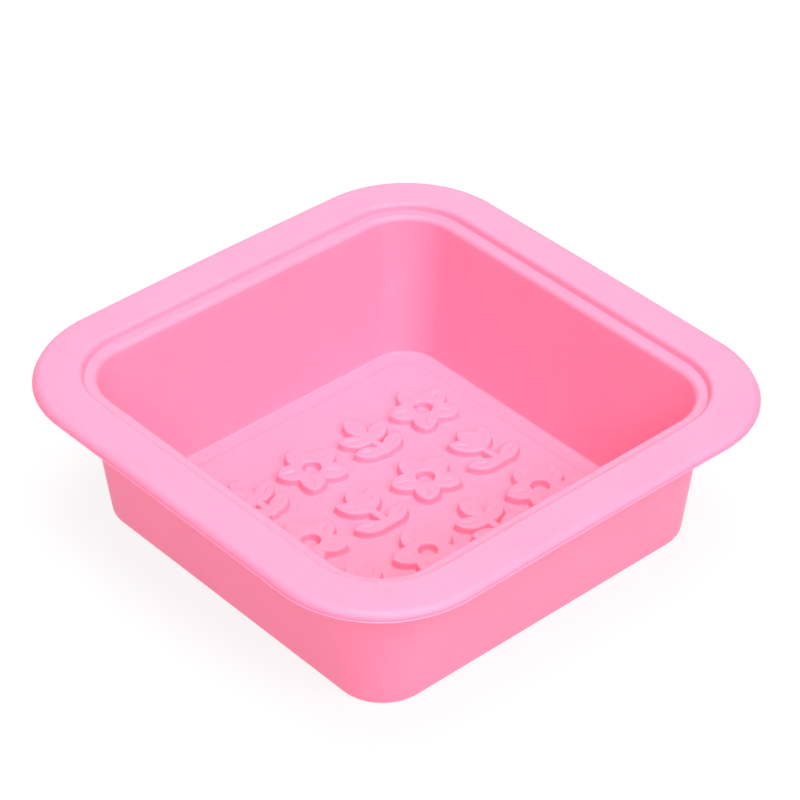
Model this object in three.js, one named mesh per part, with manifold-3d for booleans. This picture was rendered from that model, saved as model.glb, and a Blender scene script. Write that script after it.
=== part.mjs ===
// A small square soap loaf mould, moulded in one piece from soft pink silicone.
//
// The moulding is built here as the regions that a mould maker would name: the floor, the tapered
// wall, the ledge round the mouth, the flange, and the raised ornaments on the floor that press
// their picture into the soap. The regions share flat faces and overlap nowhere.
//
// Millimetres. +Z is up, the origin is at the centre of the underside, and the mould stands on Z = 0.

import * as THREE from 'three';
import Module from 'manifold-3d';
import { mergeVertices } from 'three/addons/utils/BufferGeometryUtils.js';

// ---------------------------------------------------------------- driving dimensions

const LENGTH_X = 83;                  // flange, across X
const LENGTH_Y = 84;                  // flange, across Y
const HEIGHT = 24.7;                  // underside to the flat top of the flange
const FLANGE_THICKNESS = 1.1;
const FLANGE_CORNER_R = 17.5;
const FLANGE_EDGE_R = 1.05;           // the flange's outer edge is rounded on top

// Half widths across X, each with the radius of its corners seen from above.
const STEP_TOP = { half: 34.7, corner: 11.3 };     // where the flange steps down to the ledge
const STEP_FOOT = { half: 34.3, corner: 10.9 };
const MOUTH = { half: 32.2, corner: 8.4 };         // the wall just under the lip of the mouth
const FLOOR = { half: 27.1, corner: 6.0 };         // the wall's foot, inside
const WALL_TOP = { half: 33.6, corner: 9.8 };      // the outside of the wall, at the cove
const WALL_FOOT = { half: 31.3, corner: 7.2 };     // the outside of the wall, on the table

const FLOOR_THICKNESS = 3.0;
const LIP_R = 1.0;                    // the rounded edge between the ledge and the wall
const COVE_R = 5.0;                   // the hollow curve between the wall and the flange, outside
const FOOT_R = 0.7;                   // the rounded edge round the underside

const RELIEF_HEIGHT = 1.2;
const RELIEF_ROWS = [12.4, -0.4, -13.2];           // Y of each row of ornaments
const RELIEF_COLUMNS = [-16.5, -5.5, 5.5, 16.5];   // X of each column

const CORNER_STEPS = 8;               // facets in each corner, seen from above
const FILLET_STEPS = 4;               // facets in each small round of the section
const PINK = 0xf593b8;

// ---------------------------------------------------------------- the section's outline

const FLANGE_BOTTOM = HEIGHT - FLANGE_THICKNESS;
const COVE_BOTTOM = FLANGE_BOTTOM - COVE_R;
const LIP_BOTTOM = FLANGE_BOTTOM - LIP_R;
const FLANGE = { half: LENGTH_X / 2, corner: FLANGE_CORNER_R };

// A level is one rounded rectangle of the section: its half width, corner radius and height.
function level(outline, z) {
  return { half: outline.half, corner: outline.corner, z };
}

// An outline moved outwards by a distance. Its corners stay concentric.
function grown(outline, distance) {
  return { half: outline.half + distance, corner: outline.corner + distance };
}

// The outline part of the way from one to another.
function between(from, to, share) {
  return {
    half: THREE.MathUtils.lerp(from.half, to.half, share),
    corner: THREE.MathUtils.lerp(from.corner, to.corner, share),
  };
}

function outerWall(z) {
  return between(WALL_FOOT, WALL_TOP, z / COVE_BOTTOM);
}

function innerWall(z) {
  return between(FLOOR, MOUTH, (z - FLOOR_THICKNESS) / (LIP_BOTTOM - FLOOR_THICKNESS));
}

// The levels of a round whose centre runs along an outline at height z, from one angle of the
// section to another: 0 degrees points outwards from the mould, and 90 points up.
function round(centreLine, z, radius, fromDegrees, toDegrees) {
  const levels = [];
  for (let i = 0; i <= FILLET_STEPS; i += 1) {
    const degrees = THREE.MathUtils.lerp(fromDegrees, toDegrees, i / FILLET_STEPS);
    const angle = THREE.MathUtils.degToRad(degrees);
    levels.push(level(grown(centreLine, radius * Math.cos(angle)), z + radius * Math.sin(angle)));
  }
  return levels;
}

// ---------------------------------------------------------------- solids from sections

// Turns a section into a solid with rounded-rectangle plan. A lathe makes the surface, and its
// columns are then shared out over four corners, each moved out to its own centre. A section that
// closes on itself makes a ring. One that starts and ends on the axis makes a plate.
function roundedRectangleSolid(section) {
  const columnsPerCorner = CORNER_STEPS + 1;
  const points = section.map((p) => new THREE.Vector2(p.corner, p.z));
  const geometry = new THREE.LatheGeometry(points, 4 * columnsPerCorner);
  const position = geometry.getAttribute('position');
  for (let i = 0; i < position.count; i += 1) {
    const p = section[i % section.length];
    const column = Math.floor(i / section.length) % (4 * columnsPerCorner);
    const corner = Math.floor(column / columnsPerCorner);
    const turn = corner + (column % columnsPerCorner) / CORNER_STEPS;
    const angle = turn * Math.PI / 2;
    const longer = p.half > 0 ? (LENGTH_Y - LENGTH_X) / 2 : 0;
    const centreX = (p.half - p.corner) * (corner === 0 || corner === 3 ? 1 : -1);
    const centreY = (p.half + longer - p.corner) * (corner < 2 ? 1 : -1);
    const x = centreX + p.corner * Math.cos(angle);
    const y = centreY + p.corner * Math.sin(angle);
    position.setXYZ(i, x, y, p.z);
  }
  geometry.computeVertexNormals();
  return geometry;
}

function onAxis(z) {
  return level({ half: 0, corner: 0 }, z);
}

function ring(section) {
  return roundedRectangleSolid([...section, section[0]]);
}

// ---------------------------------------------------------------- the moulding's regions

function baseFloor() {
  return roundedRectangleSolid([
    onAxis(0),
    ...round(grown(WALL_FOOT, -FOOT_R), FOOT_R, FOOT_R, -90, 0),
    level(outerWall(FLOOR_THICKNESS), FLOOR_THICKNESS),
    onAxis(FLOOR_THICKNESS),
  ]);
}

function sideWall() {
  return ring([
    level(outerWall(FLOOR_THICKNESS), FLOOR_THICKNESS),
    level(outerWall(COVE_BOTTOM), COVE_BOTTOM),
    level(innerWall(COVE_BOTTOM), COVE_BOTTOM),
    level(innerWall(FLOOR_THICKNESS), FLOOR_THICKNESS),
  ]);
}

function mouthLedge() {
  return ring([
    ...round(grown(WALL_TOP, COVE_R), COVE_BOTTOM, COVE_R, 180, 90),
    ...round(grown(MOUTH, LIP_R), LIP_BOTTOM, LIP_R, 90, 180),
    level(innerWall(COVE_BOTTOM), COVE_BOTTOM),
  ]);
}

function rimFlange() {
  return ring([
    level(FLANGE, FLANGE_BOTTOM),
    ...round(grown(FLANGE, -FLANGE_EDGE_R), HEIGHT - FLANGE_EDGE_R, FLANGE_EDGE_R, 0, 90),
    level(STEP_TOP, HEIGHT),
    level(STEP_FOOT, FLANGE_BOTTOM),
  ]);
}

// ---------------------------------------------------------------- the ornaments

const LEAF_ARC_STEPS = 4;             // facets in half of each leaf's edge
const PETALS = 5;
const PETAL = { long: 5.5, wide: 4.0 };
const HOLE_R = 1.3;                   // the round hole in the middle of a blossom
const HOLE_ARC_STEPS = 8;             // facets in half of the hole's edge
const STEM_WIDTH = 1.3;
const STEM_FOOT = -5.0;               // the stem's lower end, from the ornament's middle

// Leaves of the sprig and the bud: length, width, height of the stalk end above the ornament's
// middle, and turn in degrees from straight up. A pair is the same leaf turned both ways.
const SPRIG_TIP = { long: 4.8, wide: 3.2, foot: 0.6, turn: 0 };
const SPRIG_PAIRS = [
  { long: 5.2, wide: 2.9, foot: -1.1, turn: 56 },
  { long: 5.0, wide: 2.8, foot: -4.3, turn: 60 },
];
const SPRIG_STEM_TOP = 1.6;
const BUD_TIP = { long: 5.8, wide: 3.4, foot: -0.6, turn: 0 };
const BUD_PAIRS = [
  { long: 5.6, wide: 2.8, foot: -0.8, turn: 38 },
  { long: 5.4, wide: 2.8, foot: -4.7, turn: 64 },
];
const BUD_STEM_TOP = 0;

const wasm = await Module();
wasm.setup();

function toSolid(geometry) {
  geometry.deleteAttribute('normal');
  geometry.deleteAttribute('uv');
  const merged = mergeVertices(geometry, 1e-4);
  const vertProperties = new Float32Array(merged.getAttribute('position').array);
  const triVerts = new Uint32Array(merged.getIndex().array);
  return new wasm.Manifold(new wasm.Mesh({ numProp: 3, vertProperties, triVerts }));
}

function toGeometry(solid) {
  const mesh = solid.getMesh();
  const geometry = new THREE.BufferGeometry();
  geometry.setAttribute('position', new THREE.BufferAttribute(mesh.vertProperties, 3));
  geometry.setIndex(new THREE.BufferAttribute(mesh.triVerts, 1));
  geometry.computeVertexNormals();
  return geometry;
}

function extruded(shape, depth = RELIEF_HEIGHT, curveSegments = LEAF_ARC_STEPS) {
  return new THREE.ExtrudeGeometry(shape, { depth, bevelEnabled: false, curveSegments });
}

// A leaf or petal: two arcs that meet in points, at the start and at `long` along +Y.
function leafShape(long, wide) {
  const radius = (long * long + wide * wide) / (4 * wide);
  const offset = radius - wide / 2;
  const reach = Math.asin(long / 2 / radius);
  const shape = new THREE.Shape();
  shape.absarc(-offset, long / 2, radius, -reach, reach, false);
  shape.absarc(offset, long / 2, radius, Math.PI - reach, Math.PI + reach, false);
  return shape;
}

// A leaf with its stalk end on the ornament's middle line, turned anticlockwise from +Y.
function leaf({ long, wide, foot, turn }) {
  const geometry = extruded(leafShape(long, wide));
  geometry.rotateZ(THREE.MathUtils.degToRad(turn));
  geometry.translate(0, foot, 0);
  return toSolid(geometry);
}

function leafPair(spec) {
  return leaf(spec).add(leaf({ ...spec, turn: -spec.turn }));
}

function stem(top) {
  const side = STEM_WIDTH / 2;
  const shape = new THREE.Shape();
  shape.moveTo(-side, STEM_FOOT);
  shape.lineTo(side, STEM_FOOT);
  shape.lineTo(side, top);
  shape.lineTo(-side, top);
  shape.closePath();
  return toSolid(extruded(shape));
}

// A round cutter that passes through an ornament, half its height past each face.
function cutter(radius) {
  const shape = new THREE.Shape();
  shape.absarc(0, 0, radius, 0, 2 * Math.PI, false);
  const geometry = extruded(shape, 2 * RELIEF_HEIGHT, HOLE_ARC_STEPS);
  geometry.translate(0, 0, -RELIEF_HEIGHT / 2);
  return toSolid(geometry);
}

function joined(solids) {
  return solids.reduce((whole, solid) => whole.add(solid));
}

// Five petals round a hole.
function blossom() {
  const petals = [];
  for (let i = 0; i < PETALS; i += 1) {
    petals.push(leaf({ ...PETAL, foot: 0, turn: i * 360 / PETALS }));
  }
  return toGeometry(joined(petals).subtract(cutter(HOLE_R)));
}

// A stem with a leaf at its tip and two pairs at its sides.
function sprig() {
  return toGeometry(joined([stem(SPRIG_STEM_TOP), leaf(SPRIG_TIP), ...SPRIG_PAIRS.map(leafPair)]));
}

// A bud of three petals over a pair of leaves.
function bud() {
  return toGeometry(joined([stem(BUD_STEM_TOP), leaf(BUD_TIP), ...BUD_PAIRS.map(leafPair)]));
}

const ORNAMENTS = { blossom: blossom(), sprig: sprig(), bud: bud() };
const RELIEF_PATTERN = [
  ['sprig', 'blossom', 'sprig', 'blossom'],
  ['blossom', 'bud', 'blossom', 'bud'],
  ['bud', 'blossom', 'sprig', 'blossom'],
];

// ---------------------------------------------------------------- the mould

function silicone() {
  return new THREE.MeshStandardMaterial({ color: PINK, roughness: 0.5, metalness: 0 });
}

function piece(name, geometry) {
  const mesh = new THREE.Mesh(geometry, silicone());
  mesh.name = name;
  return mesh;
}

function relief() {
  const group = new THREE.Group();
  RELIEF_PATTERN.forEach((row, r) => {
    row.forEach((kind, c) => {
      const mesh = piece(`relief_${kind}_${r + 1}${c + 1}`, ORNAMENTS[kind]);
      mesh.position.set(RELIEF_COLUMNS[c], RELIEF_ROWS[r], FLOOR_THICKNESS);
      group.add(mesh);
    });
  });
  return group;
}

const mould = new THREE.Group();
mould.add(piece('base_floor', baseFloor()));
mould.add(piece('side_wall', sideWall()));
mould.add(piece('mouth_ledge', mouthLedge()));
mould.add(piece('rim_flange', rimFlange()));
mould.add(relief());

export default mould;
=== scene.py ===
"""A square soap mould of soft pink silicone, on a white table.

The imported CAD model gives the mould's size and the heights of its regions. The mould is one
moulding, so one seamless skin stands for all of the CAD regions: a section of rounded rectangles,
lofted from the underside, over the flange and down to the floor, joined to a fine grid that
carries the raised ornaments. Its lengths are in millimetres until the mesh is made.
"""

import math

import bmesh
import bpy
import numpy as np
from mathutils import Matrix, Vector


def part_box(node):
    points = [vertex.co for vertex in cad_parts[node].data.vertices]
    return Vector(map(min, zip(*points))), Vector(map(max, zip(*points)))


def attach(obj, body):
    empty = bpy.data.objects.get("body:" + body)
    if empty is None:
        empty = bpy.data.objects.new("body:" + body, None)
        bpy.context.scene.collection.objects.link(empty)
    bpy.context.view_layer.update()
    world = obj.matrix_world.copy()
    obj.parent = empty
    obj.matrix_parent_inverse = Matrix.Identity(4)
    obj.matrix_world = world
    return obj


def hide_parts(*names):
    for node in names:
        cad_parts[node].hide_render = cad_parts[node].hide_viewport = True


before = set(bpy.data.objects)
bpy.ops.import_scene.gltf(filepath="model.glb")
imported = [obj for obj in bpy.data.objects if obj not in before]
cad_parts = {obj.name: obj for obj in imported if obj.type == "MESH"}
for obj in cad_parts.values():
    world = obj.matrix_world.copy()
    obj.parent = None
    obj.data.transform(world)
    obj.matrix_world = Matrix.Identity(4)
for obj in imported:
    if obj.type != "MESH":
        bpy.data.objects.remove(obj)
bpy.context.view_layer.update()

MM = 0.001  # metres in a millimetre

# ---------------------------------------------------------------- sizes from the frame


def corner_mm(node, top):
    """The highest (top is 1) or lowest (top is 0) corner of a CAD node, in millimetres."""
    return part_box(node)[top] / MM


FLANGE_HALF, FLANGE_HALF_Y, HEIGHT = corner_mm("rim_flange", 1)
FLANGE_BOTTOM = corner_mm("rim_flange", 0).z
COVE_BOTTOM = corner_mm("mouth_ledge", 0).z
FLOOR_TOP = corner_mm("base_floor", 1).z
RELIEF_TOP = corner_mm("relief_blossom_12", 1).z
LONGER_Y = FLANGE_HALF_Y - FLANGE_HALF  # every outline is this much longer each way in Y

# ---------------------------------------------------------------- sizes of the section

# Outlines, as in the CAD: half width across X, and the radius of the corners seen from above.
FLANGE = (FLANGE_HALF, 17.5)
STEP_TOP = (34.7, 11.3)
STEP_FOOT = (34.3, 10.9)
MOUTH = (32.2, 8.4)
FLOOR = (27.1, 6.0)
WALL_TOP = (33.6, 9.8)
WALL_FOOT = (31.3, 7.2)
PANEL = (23.9, 3.6)  # the slightly raised middle of the floor, which the CAD leaves out

LIP_R = 1.0
COVE_R = FLANGE_BOTTOM - COVE_BOTTOM
FOOT_R = 0.7
FLANGE_EDGE_R = 0.94
FLANGE_EDGE_STRETCH = 1.15  # the round on the edge is wider than it is high
BEAD_R = 0.07  # the thin bead that the mould's parting leaves on the lower edge of the flange
BEAD_REACH = 0.14  # how far it stands out from the edge
STEP_TOP_R = 0.8
STEP_FOOT_R = 0.12
FLOOR_FILLET_R = 0.35
PANEL_RISE = 0.12
PANEL_SLOPE = 0.9  # width of the ramp up to the panel
UNDERSIDE_MARGIN = 1.0  # a level this far inside the foot's round keeps the underside flat
LIP_BOTTOM = FLANGE_BOTTOM - LIP_R

# The soft flange sags a little, least in the middle of its two Y sides.
SAG = 0.25
SAG_MORE_AT_X_SIDES = 0.14
SAG_MORE_AT_CORNERS = 0.1

CORNER_STEPS = 32
SIDE_STEPS = 24
ROUND_STEPS = 10
SMALL_ROUND_STEPS = 6
WALL_STEPS = 12
FLANGE_STEPS = 6
LEDGE_STEPS = 2
PANEL_STEPS = 6
KEEP = 0.15  # a support level this far from each round keeps the flats flat when shaded

# ---------------------------------------------------------------- sizes of the ornaments

# Places and outlines, as in the CAD.
RELIEF_ROWS = (12.4, -0.4, -13.2)
RELIEF_COLUMNS = (-16.5, -5.5, 5.5, 16.5)
RELIEF_PATTERN = (
    ("sprig", "blossom", "sprig", "blossom"),
    ("blossom", "bud", "blossom", "bud"),
    ("bud", "blossom", "sprig", "blossom"),
)
PETALS = 5
PETAL = {"long": 5.5, "wide": 4.0}
HOLE_R = 1.3
STEM_WIDTH = 1.3
STEM_FOOT = -5.0
SPRIG_TIP = {"long": 4.8, "wide": 3.2, "foot": 0.6, "turn": 0}
SPRIG_PAIRS = (
    {"long": 5.2, "wide": 2.9, "foot": -1.1, "turn": 56},
    {"long": 5.0, "wide": 2.8, "foot": -4.3, "turn": 60},
)
SPRIG_STEM_TOP = 1.6
BUD_TIP = {"long": 5.8, "wide": 3.4, "foot": -0.6, "turn": 0}
BUD_PAIRS = (
    {"long": 5.6, "wide": 2.8, "foot": -0.8, "turn": 38},
    {"long": 5.4, "wide": 2.8, "foot": -4.7, "turn": 64},
)
BUD_STEM_TOP = 0.0

# Finer than the CAD: the grid, the small rounds, the sloping sides and the grooves.
GRID_PITCH = 0.11
GRID_MARGIN = 6.2  # how far the grid reaches past the middle of the outer ornaments
TIP_R = 0.22  # rounding of a leaf's points
WEB_R = 0.3  # rounding of the notches where leaves meet
EDGE_INSIDE = 0.2  # the side of an ornament starts this far inside its outline
EDGE_OUTSIDE = 0.2  # and its foot ends this far outside
VEIN_DEPTH = 0.15
VEIN_WIDTH = 0.2
VEIN_START = (0.4, 0.15)  # where the vein fades in along the leaf, and over how much of it
VEIN_END = (0.86, 0.2)  # where it has faded out, and over how much

# ---------------------------------------------------------------- the section


def grown(outline, distance):
    """An outline moved outwards by a distance. Its corners stay concentric."""
    return (outline[0] + distance, outline[1] + distance)


def between(a, b, share):
    """A pair part of the way from pair a to pair b."""
    return (a[0] + (b[0] - a[0]) * share, a[1] + (b[1] - a[1]) * share)


class Face:
    """A drafted face of the section, which runs from one outline and height to another."""

    def __init__(self, low, low_z, high, high_z):
        self.low, self.low_z, self.high, self.high_z = low, low_z, high, high_z
        self.slope = (high[0] - low[0]) / (high_z - low_z)
        self.draft = math.degrees(math.atan(self.slope))

    def at(self, z):
        return between(self.low, self.high, (z - self.low_z) / (self.high_z - self.low_z))

    def beside(self, z, radius):
        """The outline at height z whose distance from the face is the radius: plus is outside."""
        return grown(self.at(z), radius * math.hypot(1, self.slope))

    def levels(self, start_z, end_z, steps):
        return [(self.at(z), z) for z in np.linspace(start_z, end_z, steps + 2)[1:-1]]


OUTER_WALL = Face(WALL_FOOT, 0, WALL_TOP, COVE_BOTTOM)
INNER_WALL = Face(FLOOR, FLOOR_TOP, MOUTH, LIP_BOTTOM)
STEP = Face(STEP_FOOT, FLANGE_BOTTOM, STEP_TOP, HEIGHT)


def rounded(centre, z, radius, start, end, steps=ROUND_STEPS, stretch=1.0):
    """The levels of a round. At 0 degrees it points outwards from the mould, and at 90 up.

    A stretch above 1 makes it wider than it is high."""
    levels = []
    for angle in np.radians(np.linspace(start, end, steps + 1)):
        reach = stretch * radius * math.cos(angle)
        levels.append((grown(centre, reach), z + radius * math.sin(angle)))
    return levels


def flat(start, end, z, steps=1):
    """Levels along a flat, with a support level near each end."""
    direction = math.copysign(KEEP, end[0] - start[0])
    inner_start, inner_end = grown(start, direction), grown(end, -direction)
    return [(between(inner_start, inner_end, i / steps), z) for i in range(steps + 1)]


def underside_levels():
    centre = OUTER_WALL.beside(FOOT_R, -FOOT_R)
    foot = rounded(centre, FOOT_R, FOOT_R, -90, -OUTER_WALL.draft)
    return [(grown(centre, -UNDERSIDE_MARGIN), 0.0), (grown(centre, -KEEP), 0.0), *foot]


def outside_levels():
    cove_centre = OUTER_WALL.beside(COVE_BOTTOM, COVE_R)
    cove_start = 180 - OUTER_WALL.draft
    return [
        *OUTER_WALL.levels(FOOT_R, COVE_BOTTOM, WALL_STEPS),
        *rounded(cove_centre, COVE_BOTTOM, COVE_R, cove_start, 90, 2 * ROUND_STEPS),
        *flat(cove_centre, grown(FLANGE, -BEAD_R), FLANGE_BOTTOM),
    ]


def flange_levels():
    bead_centre = grown(FLANGE, -BEAD_R)
    edge = grown(FLANGE, -BEAD_REACH)
    bead_top = FLANGE_BOTTOM + 2 * BEAD_R
    edge_z = HEIGHT - FLANGE_EDGE_R
    edge_centre = grown(edge, -FLANGE_EDGE_R * FLANGE_EDGE_STRETCH)
    step_z = HEIGHT - STEP_TOP_R
    step_centre = STEP.beside(step_z, STEP_TOP_R)
    step_end = 180 - STEP.draft
    return [
        *rounded(bead_centre, FLANGE_BOTTOM + BEAD_R, BEAD_R, -90, 90, SMALL_ROUND_STEPS),
        (edge, bead_top),
        *rounded(edge_centre, edge_z, FLANGE_EDGE_R, 0, 90, stretch=FLANGE_EDGE_STRETCH),
        *flat(edge_centre, step_centre, HEIGHT, FLANGE_STEPS),
        *rounded(step_centre, step_z, STEP_TOP_R, 90, step_end, SMALL_ROUND_STEPS),
    ]


def ledge_levels():
    foot_z = FLANGE_BOTTOM + STEP_FOOT_R
    foot_centre = STEP.beside(foot_z, -STEP_FOOT_R)
    lip_centre = INNER_WALL.beside(LIP_BOTTOM, LIP_R)
    return [
        *rounded(foot_centre, foot_z, STEP_FOOT_R, -STEP.draft, -90, SMALL_ROUND_STEPS),
        *flat(foot_centre, lip_centre, FLANGE_BOTTOM, LEDGE_STEPS),
        *rounded(lip_centre, LIP_BOTTOM, LIP_R, 90, 180 - INNER_WALL.draft),
    ]


def cavity_levels():
    margin_z = FLOOR_TOP - PANEL_RISE
    fillet_z = margin_z + FLOOR_FILLET_R
    fillet_centre = INNER_WALL.beside(fillet_z, -FLOOR_FILLET_R)
    panel_foot = grown(PANEL, PANEL_SLOPE)
    ramp = []
    for share in np.linspace(0, 1, PANEL_STEPS + 1):
        rise = PANEL_RISE * share * share * (3 - 2 * share)
        ramp.append((between(panel_foot, PANEL, share), margin_z + rise))
    return [
        *INNER_WALL.levels(LIP_BOTTOM, fillet_z, WALL_STEPS),
        *rounded(fillet_centre, fillet_z, FLOOR_FILLET_R, -INNER_WALL.draft, -90),
        *flat(fillet_centre, panel_foot, margin_z),
        *ramp,
        (grown(PANEL, -KEEP), FLOOR_TOP),
    ]


# ---------------------------------------------------------------- the loft


def plan_columns():
    """Each column of the loft, as how far it lies along the straight core (x, y) and the
    direction in which the corner radius is added (x, y), counter-clockwise from +X."""
    columns = []
    for corner in range(4):
        sign = [(1, 1), (-1, 1), (-1, -1), (1, -1)][corner]
        following = [(-1, 1), (-1, -1), (1, -1), (1, 1)][corner]
        for angle in np.linspace(corner * 90, corner * 90 + 90, CORNER_STEPS + 1):
            turn = math.radians(angle)
            columns.append((*sign, math.cos(turn), math.sin(turn)))
        end = columns[-1]
        for share in np.linspace(0, 1, SIDE_STEPS + 1)[1:-1]:
            x = sign[0] + (following[0] - sign[0]) * share
            y = sign[1] + (following[1] - sign[1]) * share
            columns.append((x, y, end[2], end[3]))
    return np.array(columns)


def sag(xy):
    """How far the flange's outer edge hangs below flat, at points (x, y)."""
    turn = np.arctan2(xy[:, 1], xy[:, 0])
    return SAG + SAG_MORE_AT_X_SIDES * np.cos(2 * turn) - SAG_MORE_AT_CORNERS * np.cos(4 * turn)


def loft(levels):
    """The points and quads of a section. Its first level is closed by one face."""
    columns = plan_columns()
    count = len(columns)
    rings = []
    for (half, corner), z in levels:
        core = np.array([half - corner, half + LONGER_Y - corner])
        xy = columns[:, :2] * core + columns[:, 2:] * corner
        past_step = max(0, (half - STEP_TOP[0]) / (FLANGE_HALF - STEP_TOP[0]))
        rings.append(np.column_stack([xy, z - sag(xy) * past_step**2]))
    faces = [list(range(count))[::-1]]
    for i in range(len(levels) - 1):
        for j in range(count):
            k = (j + 1) % count
            a, b = i * count, (i + 1) * count
            faces.append([a + j, a + k, b + k, b + j])
    return np.vstack(rings), faces


# ---------------------------------------------------------------- the ornaments


def leaf_frame(x, y, leaf):
    """Coordinates across a leaf and along it from its stalk end."""
    turn = math.radians(leaf["turn"])
    across = x * math.cos(turn) + (y - leaf["foot"]) * math.sin(turn)
    along = -x * math.sin(turn) + (y - leaf["foot"]) * math.cos(turn)
    return across, along


def leaf_distance(x, y, leaf):
    """Signed distance to a leaf of two arcs with rounded points, negative inside."""
    across, along = leaf_frame(x, y, leaf)
    half_long, half_wide = leaf["long"] / 2 - TIP_R, leaf["wide"] / 2 - TIP_R
    radius = (half_long**2 + half_wide**2) / (2 * half_wide)
    offset = radius - half_wide
    px, py = np.abs(across), np.abs(along - leaf["long"] / 2)
    past_tip = (py - half_long) * offset > px * half_long
    to_tip = np.hypot(px, py - half_long)
    to_arc = np.hypot(px + offset, py) - radius
    return np.where(past_tip, to_tip, to_arc) - TIP_R


def stem_distance(x, y, top):
    middle, half = (STEM_FOOT + top) / 2, (top - STEM_FOOT) / 2
    dx, dy = np.abs(x) - STEM_WIDTH / 2, np.abs(y - middle) - half
    outside = np.hypot(np.maximum(dx, 0), np.maximum(dy, 0))
    return outside + np.minimum(np.maximum(dx, dy), 0)


def union(distances):
    """The smooth union of shapes given by their distances."""
    whole = distances[0]
    for other in distances[1:]:
        blend = np.clip(0.5 + 0.5 * (other - whole) / WEB_R, 0, 1)
        whole = other + (whole - other) * blend - WEB_R * blend * (1 - blend)
    return whole


def smooth(share):
    share = np.clip(share, 0, 1)
    return share**3 * (share * (6 * share - 15) + 10)


def vein(x, y, leaf):
    """How deep the groove along a leaf's middle is, from 0 to 1."""
    across, along = leaf_frame(x, y, leaf)
    share = along / leaf["long"]
    fade_in = smooth((share - VEIN_START[0]) / VEIN_START[1])
    fade_out = smooth((VEIN_END[0] - share) / VEIN_END[1])
    return np.exp(-((across / VEIN_WIDTH) ** 2)) * fade_in * fade_out


def both_ways(leaf):
    return [leaf, {**leaf, "turn": -leaf["turn"]}]


def blossom(x, y):
    petals = [{**PETAL, "foot": 0, "turn": i * 360 / PETALS} for i in range(PETALS)]
    flower = union([leaf_distance(x, y, petal) for petal in petals])
    grooves = np.max([vein(x, y, petal) for petal in petals], axis=0)
    return np.maximum(flower, HOLE_R - np.hypot(x, y)), grooves


def leafy(x, y, tip, pairs, stem_top):
    leaves = [tip, *[leaf for pair in pairs for leaf in both_ways(pair)]]
    stem = stem_distance(x, y, stem_top)
    distance = union([stem, *[leaf_distance(x, y, leaf) for leaf in leaves]])
    grooves = np.max([vein(x, y, leaf) for leaf in leaves], axis=0)
    return distance, grooves


def ornament(kind, x, y):
    if kind == "blossom":
        return blossom(x, y)
    if kind == "sprig":
        return leafy(x, y, SPRIG_TIP, SPRIG_PAIRS, SPRIG_STEM_TOP)
    return leafy(x, y, BUD_TIP, BUD_PAIRS, BUD_STEM_TOP)


def relief_height(x, y):
    """Height of the ornaments above the floor at each point of the grid."""
    height = np.zeros_like(x)
    full = RELIEF_TOP - FLOOR_TOP
    for row_y, row in zip(RELIEF_ROWS, RELIEF_PATTERN):
        for column_x, kind in zip(RELIEF_COLUMNS, row):
            distance, groove = ornament(kind, x - column_x, y - row_y)
            side = smooth((EDGE_OUTSIDE - distance) / (EDGE_INSIDE + EDGE_OUTSIDE))
            height = np.maximum(height, full * side - VEIN_DEPTH * groove * side)
    return height


def relief_grid(first):
    """The points and quads of the fine grid. Its points are numbered from `first`."""
    reach_x = RELIEF_COLUMNS[-1] + GRID_MARGIN
    low_y, high_y = RELIEF_ROWS[-1] - GRID_MARGIN, RELIEF_ROWS[0] + GRID_MARGIN
    xs = np.linspace(-reach_x, reach_x, round(2 * reach_x / GRID_PITCH) + 1)
    ys = np.linspace(low_y, high_y, round((high_y - low_y) / GRID_PITCH) + 1)
    x, y = np.meshgrid(xs, ys)
    z = FLOOR_TOP + relief_height(x, y)
    points = np.column_stack([x.ravel(), y.ravel(), z.ravel()])
    index = np.arange(len(points)).reshape(x.shape) + first
    quads = np.stack([index[:-1, :-1], index[:-1, 1:], index[1:, 1:], index[1:, :-1]], -1)
    return points, quads.reshape(-1, 4).tolist()


# ---------------------------------------------------------------- the mould's skin


def fill_between_loft_and_grid(mesh):
    """Closes the flat of the floor between the last level of the loft and the grid."""
    bm = bmesh.new()
    bm.from_mesh(mesh)
    open_edges = [edge for edge in bm.edges if edge.is_boundary]
    filled = bmesh.ops.triangle_fill(bm, edges=open_edges, use_beauty=True, use_dissolve=False)
    for face in filled["geom"]:
        if isinstance(face, bmesh.types.BMFace) and face.normal.z < 0:
            face.normal_flip()
    for face in bm.faces:
        face.smooth = True
    bm.to_mesh(mesh)
    bm.free()


def make_body():
    levels = [
        *underside_levels(),
        *outside_levels(),
        *flange_levels(),
        *ledge_levels(),
        *cavity_levels(),
    ]
    points, faces = loft(levels)
    grid_points, grid_faces = relief_grid(len(points))
    mesh = bpy.data.meshes.new("mould_body")
    mesh.from_pydata((np.vstack([points, grid_points]) * MM).tolist(), [], faces + grid_faces)
    fill_between_loft_and_grid(mesh)
    body = bpy.data.objects.new("mould_body", mesh)
    bpy.context.scene.collection.objects.link(body)
    return body


# ---------------------------------------------------------------- materials

DEEPER_PINK = (0.93, 0.187, 0.312, 1)
PALER_PINK = (0.94, 0.197, 0.324, 1)
MOTTLE_SCALE = 90
GRAIN_SCALE = 5000
GRAIN_HEIGHT = 0.02 * MM
SCATTER_DEPTH = 1.2 * MM
TABLE_GLOW = 0.83


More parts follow.
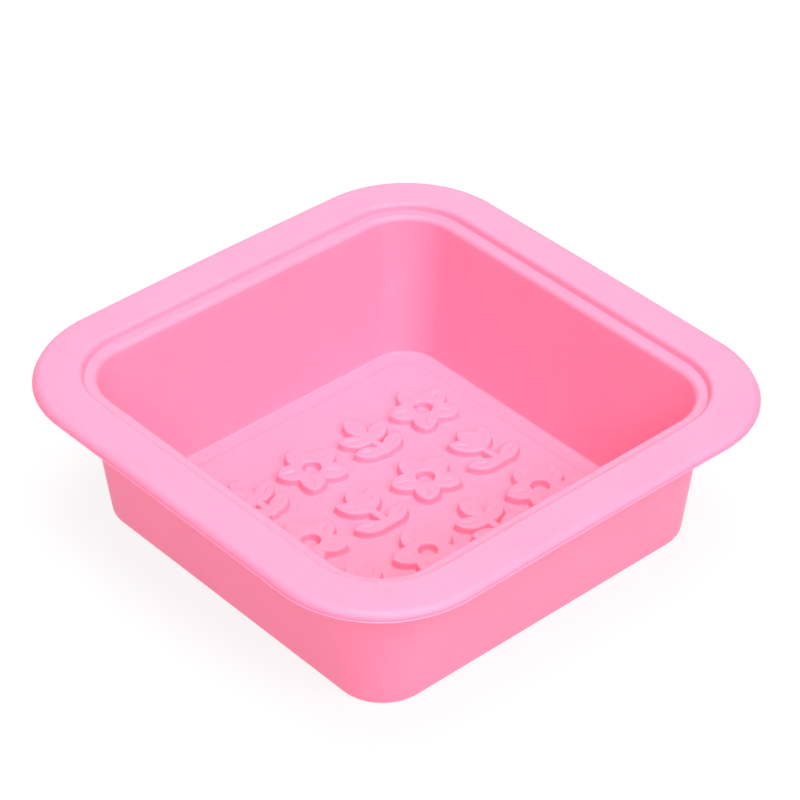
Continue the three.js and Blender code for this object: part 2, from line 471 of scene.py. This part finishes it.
def silicone():
    """Soft pink silicone: satin, slightly translucent, with a faint mottle and a fine grain."""
    material = bpy.data.materials.new("pink_silicone")
    material.use_nodes = True
    nodes, links = material.node_tree.nodes, material.node_tree.links
    shader = nodes["Principled BSDF"]
    place = nodes.new("ShaderNodeTexCoord").outputs["Object"]

    mottle = nodes.new("ShaderNodeTexNoise")
    mottle.inputs["Scale"].default_value = MOTTLE_SCALE
    mottle.inputs["Detail"].default_value = 3
    links.new(place, mottle.inputs["Vector"])
    colours = nodes.new("ShaderNodeValToRGB")
    colours.color_ramp.elements[0].position = 0.3
    colours.color_ramp.elements[0].color = DEEPER_PINK
    colours.color_ramp.elements[1].position = 0.7
    colours.color_ramp.elements[1].color = PALER_PINK
    links.new(mottle.outputs["Fac"], colours.inputs["Fac"])
    links.new(colours.outputs["Color"], shader.inputs["Base Color"])

    grain = nodes.new("ShaderNodeTexNoise")
    grain.inputs["Scale"].default_value = GRAIN_SCALE
    grain.inputs["Detail"].default_value = 2
    links.new(place, grain.inputs["Vector"])
    bump = nodes.new("ShaderNodeBump")
    bump.inputs["Strength"].default_value = 0.12
    bump.inputs["Distance"].default_value = GRAIN_HEIGHT
    links.new(grain.outputs["Fac"], bump.inputs["Height"])
    links.new(bump.outputs["Normal"], shader.inputs["Normal"])

    shader.inputs["Roughness"].default_value = 0.55
    shader.inputs["Specular IOR Level"].default_value = 0.8
    shader.inputs["IOR"].default_value = 1.41
    shader.inputs["Subsurface Weight"].default_value = 0.35
    shader.inputs["Subsurface Radius"].default_value = (1.0, 0.35, 0.45)
    shader.inputs["Subsurface Scale"].default_value = SCATTER_DEPTH
    return material


def white_floor():
    """A white table lit from below, so that it stays white in the mould's shadow."""
    material = bpy.data.materials.new("white_floor")
    material.use_nodes = True
    shader = material.node_tree.nodes["Principled BSDF"]
    shader.inputs["Base Color"].default_value = (0.1, 0.1, 0.1, 1)
    shader.inputs["Roughness"].default_value = 0.9
    shader.inputs["Emission Color"].default_value = (1, 1, 1, 1)
    shader.inputs["Emission Strength"].default_value = TABLE_GLOW
    return material


# ---------------------------------------------------------------- floor, light and camera

# The table and the lights are in metres.
FLOOR_SIZE = 4.0
FLOOR_GAP = 0.02 * MM  # keeps the table and the underside from sharing one plane
AIM_HEIGHT = 0.012  # the lights point at the middle of the mould, this high
AMBIENT = 0.25  # how strongly the white surroundings light the mould
WHITE = (1.0, 1.0, 1.0)
WARM = (1.0, 1.0, 0.91)
COOL = (1.0, 0.97, 1.1)
# Each light: where it is, its diameter, its power in watts, and its colour.
LIGHTS = {
    "key": ((0.15, -1.1, 0.95), 0.9, 17.5, WHITE),
    "front": ((-0.8, -0.9, 0.9), 0.9, 10.0, COOL),
    "left": ((-1.1, 0.1, 0.8), 0.8, 2.8, COOL),
    "overhead": ((0.0, 0.0, 1.4), 1.0, 22.5, WARM),
    "back": ((0.86, 0.98, 0.55), 0.6, 3.2, WHITE),
}

# The camera is in millimetres and degrees.
LENS = 145.2  # on Blender's usual 36 mm sensor
CAMERA_AZIMUTH = -41.38
CAMERA_ELEVATION = 36.83
CAMERA_ROLL = -0.295
CAMERA_DISTANCE = 458.1
AIM_RIGHT = 0.72  # the camera looks this far to the right of the flange's middle
AIM_UP = -2.38  # and this far above it


def add_floor():
    half = FLOOR_SIZE / 2
    mesh = bpy.data.meshes.new("studio_floor")
    corners = [(-half, -half, 0), (half, -half, 0), (half, half, 0), (-half, half, 0)]
    mesh.from_pydata(corners, [], [(0, 1, 2, 3)])
    mesh.materials.append(white_floor())
    floor = bpy.data.objects.new("studio_floor", mesh)
    floor.location.z = -FLOOR_GAP
    bpy.context.scene.collection.objects.link(floor)


def add_world():
    world = bpy.data.worlds.new("studio")
    world.use_nodes = True
    nodes, links = world.node_tree.nodes, world.node_tree.links
    background = nodes["Background"]
    background.inputs["Color"].default_value = (1, 1, 1, 1)
    # The backdrop looks white where it is seen, and is dimmer as a light.
    seen = nodes.new("ShaderNodeLightPath").outputs["Is Camera Ray"]
    strength = nodes.new("ShaderNodeMapRange")
    strength.inputs["To Min"].default_value = AMBIENT
    strength.inputs["To Max"].default_value = 1.0
    links.new(seen, strength.inputs["Value"])
    links.new(strength.outputs["Result"], background.inputs["Strength"])
    bpy.context.scene.world = world


def add_light(name, place, size, power, colour):
    data = bpy.data.lights.new(name, "AREA")
    data.shape = "DISK"
    data.size = size
    data.energy = power
    data.color = colour
    light = bpy.data.objects.new(name, data)
    light.location = place
    direction = Vector((0, 0, AIM_HEIGHT)) - light.location
    light.rotation_euler = direction.to_track_quat("-Z", "Y").to_euler()
    bpy.context.scene.collection.objects.link(light)


def add_camera():
    azimuth, elevation, roll = map(
        math.radians, (CAMERA_AZIMUTH, CAMERA_ELEVATION, CAMERA_ROLL)
    )
    level = math.cos(elevation)
    back = Vector((math.sin(azimuth) * level, -math.cos(azimuth) * level, math.sin(elevation)))
    right = Vector((math.cos(azimuth), math.sin(azimuth), 0))
    up = back.cross(right)
    rolled_right = right * math.cos(roll) + up * math.sin(roll)
    rolled_up = up * math.cos(roll) - right * math.sin(roll)
    aim = Vector((0, 0, FLANGE_BOTTOM)) + right * AIM_RIGHT + up * AIM_UP
    data = bpy.data.cameras.new("camera")
    data.lens = LENS
    camera = bpy.data.objects.new("camera", data)
    turn = Matrix((rolled_right, rolled_up, back)).transposed()
    camera.matrix_world = Matrix.Translation((aim + back * CAMERA_DISTANCE) * MM) @ turn.to_4x4()
    bpy.context.scene.collection.objects.link(camera)
    bpy.context.scene.camera = camera


# ---------------------------------------------------------------- the scene

add_camera()
add_world()
add_floor()
for light_name, light_values in LIGHTS.items():
    add_light(light_name, *light_values)
bpy.context.scene.view_settings.view_transform = "Standard"

mould = make_body()
mould.data.materials.append(silicone())
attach(mould, "root")
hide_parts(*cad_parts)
